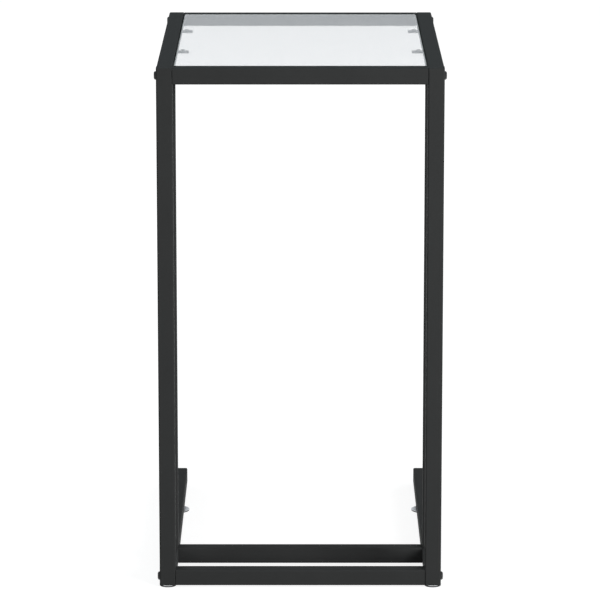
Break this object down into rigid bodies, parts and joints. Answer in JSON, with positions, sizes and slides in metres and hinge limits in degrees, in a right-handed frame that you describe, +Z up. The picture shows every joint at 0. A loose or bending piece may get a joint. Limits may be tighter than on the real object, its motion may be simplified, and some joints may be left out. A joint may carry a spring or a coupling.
{
  "type": "side table",
  "caption": "C-shaped side table: black square-tube frame with paired posts on one side, clear glass top set flush in the rails and feet under the base.",
  "frame": {"origin": "on the floor under the feet, in the middle of the table's outline", "axes": "+Z up, +Y from the side with the paired posts towards the open end, +X to the right when seen from the paired posts' side"},
  "size_m": [0.363, 0.5044, 0.6524],
  "materials": {
    "frame_steel": "satin black powder coat",
    "bolt_steel": "black oxide, slightly oiled",
    "zinc_steel": "bright zinc plate",
    "clear_glass": "polished toughened glass, ground edges",
    "pad_silicone": "clear silicone",
    "black_plastic": "moulded, fine grain"
  },
  "bodies": {
    "frame": {"left_front_post": "frame_steel", "right_front_post": "frame_steel", "left_inner_post": "frame_steel", "right_inner_post": "frame_steel", "left_top_rail": "frame_steel", "right_top_rail": "frame_steel", "left_base_rail": "frame_steel", "right_base_rail": "frame_steel", "top_front_bar": "frame_steel", "top_back_bar": "frame_steel", "base_front_bar": "frame_steel", "base_middle_bar": "frame_steel", "bar_end_plates": "frame_steel", "bar_weld_nuts": "zinc_steel", "frame_bolts": "bolt_steel", "tube_end_caps": "frame_steel", "frame_welds": "frame_steel", "glass_top": "clear_glass", "glass_tabs": "frame_steel", "tab_welds": "frame_steel", "glass_pads": "pad_silicone", "left_base_rail_plug": "black_plastic", "right_base_rail_plug": "black_plastic", "left_front_glide_plug": "black_plastic", "right_front_glide_plug": "black_plastic", "left_front_glide_cup": "zinc_steel", "right_front_glide_cup": "zinc_steel", "left_front_glide_sole": "black_plastic", "right_front_glide_sole": "black_plastic", "left_front_glide_pin": "zinc_steel", "right_front_glide_pin": "zinc_steel", "left_foot_insert": "zinc_steel", "right_foot_insert": "zinc_steel"},
    "left_rear_foot": {"left_rear_foot_stud": "zinc_steel", "left_rear_foot_cup": "zinc_steel", "left_rear_foot_sole": "black_plastic"},
    "right_rear_foot": {"right_rear_foot_stud": "zinc_steel", "right_rear_foot_cup": "zinc_steel", "right_rear_foot_sole": "black_plastic"}
  },
  "joints": [
    {"name": "left_rear_foot_height", "type": "slide", "parent": "frame", "child": "left_rear_foot", "axis": [0, 0, -1], "range_m": [0, 0.008]},
    {"name": "right_rear_foot_height", "type": "slide", "parent": "frame", "child": "right_rear_foot", "axis": [0, 0, -1], "range_m": [0, 0.008]}
  ]
}
